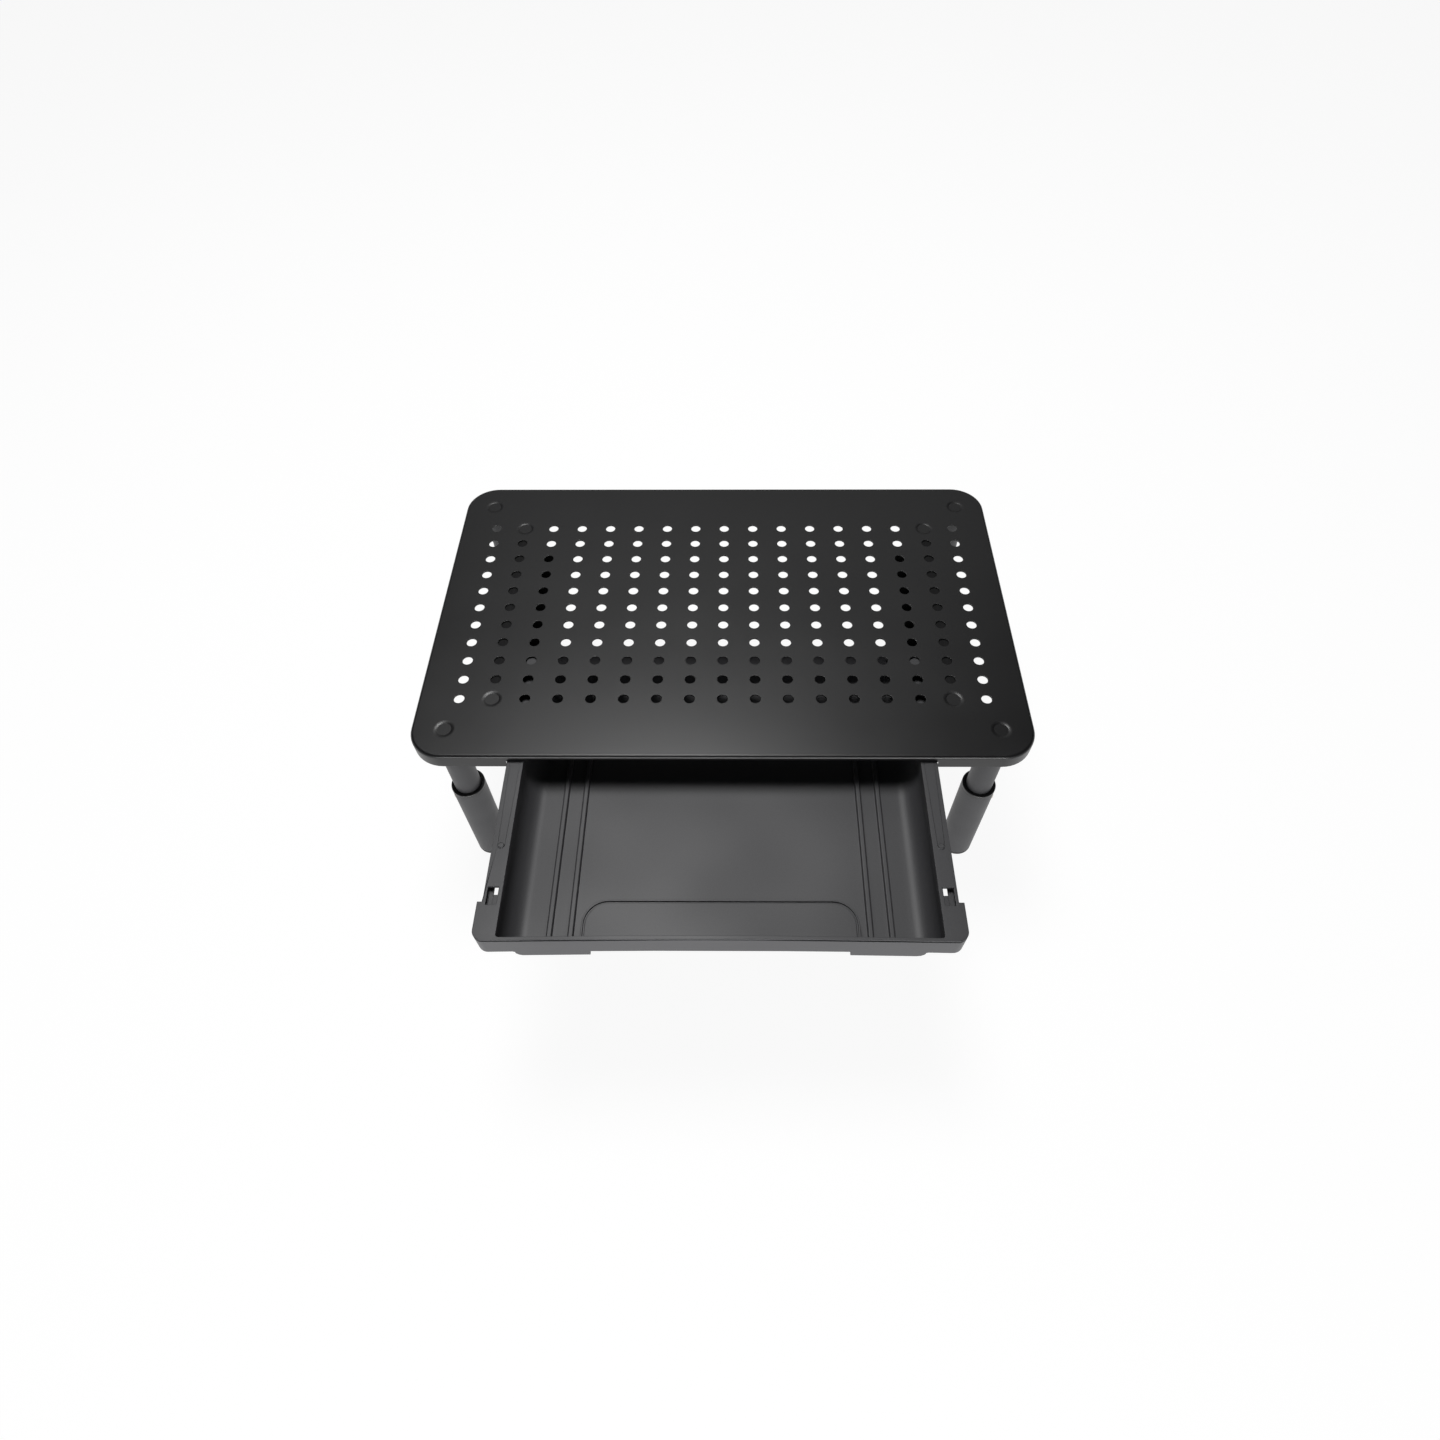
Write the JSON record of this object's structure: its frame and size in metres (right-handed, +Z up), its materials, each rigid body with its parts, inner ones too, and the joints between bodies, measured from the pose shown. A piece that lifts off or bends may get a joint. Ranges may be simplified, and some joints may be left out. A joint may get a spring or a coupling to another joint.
{
  "type": "monitor riser stand",
  "caption": "Perforated steel monitor riser on telescoping snap-button legs, with a pull-out plastic drawer on rails under the shelf.",
  "frame": {"origin": "desk level, under the middle of the stand's bounding box with its drawer partly out", "axes": "+X to the stand's right, +Y to its rear, away from the drawer front, +Z up"},
  "size_m": [0.37, 0.3446, 0.14],
  "materials": {
    "powder_coated_steel": "satin black powder coat on folded and punched sheet steel",
    "powder_coated_tube": "satin black powder coat on drawn steel tube",
    "painted_rail_steel": "matte black paint on folded steel",
    "moulded_drawer_plastic": "fine spark-eroded texture on moulded black ABS",
    "zinc_plated_steel": "bright zinc plate",
    "spring_steel": "rolled and tempered strip",
    "polished_button_steel": "nickel plated and tumbled",
    "black_nylon": "moulded black nylon",
    "black_rubber": "moulded matte rubber"
  },
  "bodies": {
    "root": {"top_panel": "powder_coated_steel", "leg_weld_studs": "zinc_plated_steel", "rail_weld_studs": "zinc_plated_steel", "rail_flange_nuts": "zinc_plated_steel", "drawer_rail_left": "painted_rail_steel", "drawer_rail_right": "painted_rail_steel", "front_left_upper_tube": "powder_coated_tube", "front_left_tube_plug": "zinc_plated_steel", "front_left_clip_spring": "spring_steel", "front_right_upper_tube": "powder_coated_tube", "front_right_tube_plug": "zinc_plated_steel", "front_right_clip_spring": "spring_steel", "rear_left_upper_tube": "powder_coated_tube", "rear_left_tube_plug": "zinc_plated_steel", "rear_left_clip_spring": "spring_steel", "rear_right_upper_tube": "powder_coated_tube", "rear_right_tube_plug": "zinc_plated_steel", "rear_right_clip_spring": "spring_steel"},
    "drawer": {"drawer_tray": "moulded_drawer_plastic"},
    "front_left_lower_leg": {"front_left_lower_sleeve": "powder_coated_tube", "front_left_guide_collar": "black_nylon", "front_left_foot": "black_rubber"},
    "front_left_button": {"front_left_snap_button": "polished_button_steel"},
    "front_right_lower_leg": {"front_right_lower_sleeve": "powder_coated_tube", "front_right_guide_collar": "black_nylon", "front_right_foot": "black_rubber"},
    "front_right_button": {"front_right_snap_button": "polished_button_steel"},
    "rear_left_lower_leg": {"rear_left_lower_sleeve": "powder_coated_tube", "rear_left_guide_collar": "black_nylon", "rear_left_foot": "black_rubber"},
    "rear_left_button": {"rear_left_snap_button": "polished_button_steel"},
    "rear_right_lower_leg": {"rear_right_lower_sleeve": "powder_coated_tube", "rear_right_guide_collar": "black_nylon", "rear_right_foot": "black_rubber"},
    "rear_right_button": {"rear_right_snap_button": "polished_button_steel"}
  },
  "joints": [
    {"name": "drawer_slide", "type": "slide", "parent": "root", "child": "drawer", "axis": [0, -1, 0], "range_m": [-0.0876, 0.025]},
    {"name": "front_left_leg_height", "type": "slide", "parent": "root", "child": "front_left_lower_leg", "axis": [0, 0, 1], "range_m": [0, 0.04], "deforming": ["front_left_snap_button"]},
    {"name": "front_left_button_press", "type": "slide", "parent": "root", "child": "front_left_button", "axis": [1, 0, 0], "range_m": [0, 0.003], "stiffness_N_per_m": 600, "springref_m": -0.004, "deforming": ["front_left_clip_spring"]},
    {"name": "front_right_leg_height", "type": "slide", "parent": "root", "child": "front_right_lower_leg", "axis": [0, 0, 1], "range_m": [0, 0.04], "deforming": ["front_right_snap_button"]},
    {"name": "front_right_button_press", "type": "slide", "parent": "root", "child": "front_right_button", "axis": [-1, 0, 0], "range_m": [0, 0.003], "stiffness_N_per_m": 600, "springref_m": -0.004, "deforming": ["front_right_clip_spring"]},
    {"name": "rear_left_leg_height", "type": "slide", "parent": "root", "child": "rear_left_lower_leg", "axis": [0, 0, 1], "range_m": [0, 0.04], "deforming": ["rear_left_snap_button"]},
    {"name": "rear_left_button_press", "type": "slide", "parent": "root", "child": "rear_left_button", "axis": [1, 0, 0], "range_m": [0, 0.003], "stiffness_N_per_m": 600, "springref_m": -0.004, "deforming": ["rear_left_clip_spring"]},
    {"name": "rear_right_leg_height", "type": "slide", "parent": "root", "child": "rear_right_lower_leg", "axis": [0, 0, 1], "range_m": [0, 0.04], "deforming": ["rear_right_snap_button"]},
    {"name": "rear_right_button_press", "type": "slide", "parent": "root", "child": "rear_right_button", "axis": [-1, 0, 0], "range_m": [0, 0.003], "stiffness_N_per_m": 600, "springref_m": -0.004, "deforming": ["rear_right_clip_spring"]}
  ]
}
